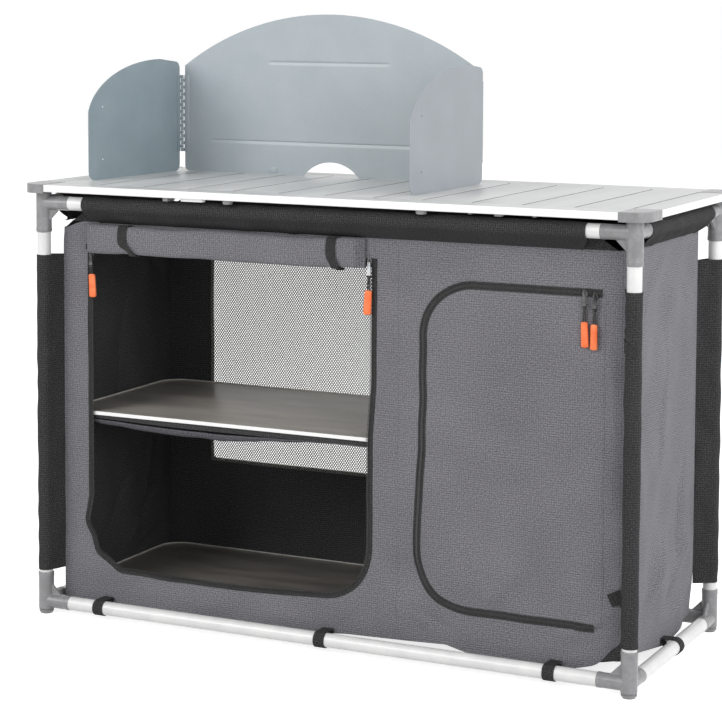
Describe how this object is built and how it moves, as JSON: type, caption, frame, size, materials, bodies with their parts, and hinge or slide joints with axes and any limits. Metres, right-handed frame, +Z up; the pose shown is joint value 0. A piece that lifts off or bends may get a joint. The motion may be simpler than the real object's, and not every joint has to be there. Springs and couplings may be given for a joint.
{
  "type": "camp kitchen unit",
  "caption": "Camp kitchen unit: tube frame with fabric cupboard, zip-in door, shelf bay, planked tabletop and a three-sided windscreen with folding wings.",
  "frame": {"origin": "on the floor under the middle of the tabletop", "axes": "+X right along the tabletop, -Y the open front, +Z up"},
  "size_m": [1.2, 0.5, 1.109],
  "materials": {
    "white_tube": "white paint, satin",
    "grey_plastic": "moulded, satin",
    "black_fabric": "woven polyester",
    "grey_fabric": "heathered woven polyester",
    "mesh_fabric": "open mesh",
    "board": "dark laminate on fibreboard",
    "tabletop": "pale laminate on fibreboard",
    "white_profile": "white, satin",
    "screen_paint": "blue-grey enamel",
    "orange_pull": "moulded"
  },
  "bodies": {
    "cupboard_frame": {"front_left_post": "white_tube", "front_left_top_connector": "grey_plastic", "front_left_bottom_connector": "grey_plastic", "front_left_foot": "grey_plastic", "front_left_post_sleeve": "black_fabric", "front_right_post": "white_tube", "front_right_top_connector": "grey_plastic", "front_right_bottom_connector": "grey_plastic", "front_right_foot": "grey_plastic", "front_right_post_sleeve": "black_fabric", "back_left_post": "white_tube", "back_left_top_connector": "grey_plastic", "back_left_bottom_connector": "grey_plastic", "back_left_foot": "grey_plastic", "back_left_post_sleeve": "black_fabric", "back_right_post": "white_tube", "back_right_top_connector": "grey_plastic", "back_right_bottom_connector": "grey_plastic", "back_right_foot": "grey_plastic", "back_right_post_sleeve": "black_fabric", "front_top_rail": "white_tube", "front_bottom_rail": "white_tube", "front_rail_sleeve": "black_fabric", "front_panel": "grey_fabric", "back_top_rail": "white_tube", "back_bottom_rail": "white_tube", "back_rail_sleeve": "black_fabric", "back_panel": "grey_fabric", "left_top_rail": "white_tube", "left_bottom_rail": "white_tube", "left_rail_sleeve": "black_fabric", "left_panel": "grey_fabric", "right_top_rail": "white_tube", "right_bottom_rail": "white_tube", "right_rail_sleeve": "black_fabric", "right_panel": "grey_fabric", "floor_panel": "black_fabric", "divider_panel": "black_fabric", "mesh_window": "mesh_fabric", "rolled_door": "grey_fabric", "shelf": "board", "left_floor_board": "board", "right_floor_board": "board"},
    "tabletop": {"front_left_corner_cap": "grey_plastic", "front_right_corner_cap": "grey_plastic", "back_left_corner_cap": "grey_plastic", "back_right_corner_cap": "grey_plastic", "front_profile": "white_profile", "back_profile": "white_profile", "left_profile": "white_profile", "right_profile": "white_profile", "plank_panel": "tabletop"},
    "windscreen": {"screen_back": "screen_paint"},
    "left_wing": {"screen_left_wing": "screen_paint"},
    "right_wing": {"screen_right_wing": "screen_paint"},
    "right_door": {"right_door": "grey_fabric"},
    "door_outer_slider": {"door_outer_zip_pull": "orange_pull"},
    "door_inner_slider": {"door_inner_zip_pull": "orange_pull"},
    "bay_left_slider": {"bay_left_zip_pull": "orange_pull"},
    "bay_right_slider": {"bay_right_zip_pull": "orange_pull"}
  },
  "joints": [
    {"name": "tabletop_lift", "type": "slide", "parent": "cupboard_frame", "child": "tabletop", "axis": [0, 0, 1], "range_m": [0, 0.12]},
    {"name": "windscreen_lift", "type": "slide", "parent": "tabletop", "child": "windscreen", "axis": [0, 0, 1], "range_m": [0, 0.12]},
    {"name": "left_wing_hinge", "type": "hinge", "parent": "windscreen", "child": "left_wing", "pos_m": [-0.501, 0.1634, 0.913], "axis": [0, 0, 1], "range_deg": [-86, 92]},
    {"name": "right_wing_hinge", "type": "hinge", "parent": "windscreen", "child": "right_wing", "pos_m": [0.137, 0.1634, 0.913], "axis": [0, 0, -1], "range_deg": [-90, 87.5]},
    {"name": "right_door_hinge", "type": "hinge", "parent": "cupboard_frame", "child": "right_door", "pos_m": [0.512, -0.19, 0.379], "axis": [0, 0, 1], "range_deg": [0, 110]},
    {"name": "door_outer_zip", "type": "slide", "parent": "right_door", "child": "door_outer_slider", "axis": [-1, 0, 0], "range_m": [0, 0.11]},
    {"name": "door_inner_zip", "type": "slide", "parent": "door_outer_slider", "child": "door_inner_slider", "axis": [-1, 0, 0], "range_m": [0, 0.11]},
    {"name": "bay_left_zip", "type": "slide", "parent": "cupboard_frame", "child": "bay_left_slider", "axis": [0, 0, -1], "range_m": [0, 0.42]},
    {"name": "bay_right_zip", "type": "slide", "parent": "cupboard_frame", "child": "bay_right_slider", "axis": [0, 0, -1], "range_m": [0, 0.42]}
  ]
}
